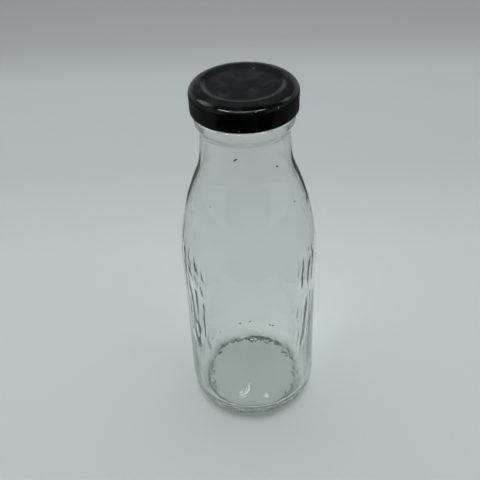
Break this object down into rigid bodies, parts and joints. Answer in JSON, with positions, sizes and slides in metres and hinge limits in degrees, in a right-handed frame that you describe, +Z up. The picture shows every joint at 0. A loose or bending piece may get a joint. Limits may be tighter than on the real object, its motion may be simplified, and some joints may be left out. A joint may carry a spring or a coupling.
{
  "type": "glass milk bottle",
  "caption": "Clear glass milk bottle with a tapered shoulder, a short neck and a black twist-off metal cap lined with a sealing ring.",
  "frame": {"origin": "centre of the base, on the surface that the bottle stands on", "axes": "+Z up along the bottle's axis, from the base to the cap"},
  "size_m": [0.0602, 0.0602, 0.1624],
  "materials": {
    "bottle_glass": "polished, clear",
    "cap_enamel": "gloss black enamel on tinplate",
    "seal_compound": "satin moulded compound"
  },
  "bodies": {
    "bottle": {"glass_bottle": "bottle_glass"},
    "seal": {"sealing_ring": "seal_compound"},
    "cap": {"cap_shell": "cap_enamel"}
  },
  "joints": [
    {"name": "cap_rise", "type": "slide", "parent": "bottle", "child": "seal", "axis": [0, 0, 1], "range_m": [0, 0.012]},
    {"name": "cap_twist", "type": "hinge", "parent": "seal", "child": "cap", "pos_m": [0, 0, 0.1574], "axis": [0, 0, 1], "range_deg": [0, 360]}
  ],
  "couplings": [
    {"joint": "cap_rise", "follows": "cap_twist", "m_per_rad": 0.0019099}
  ]
}
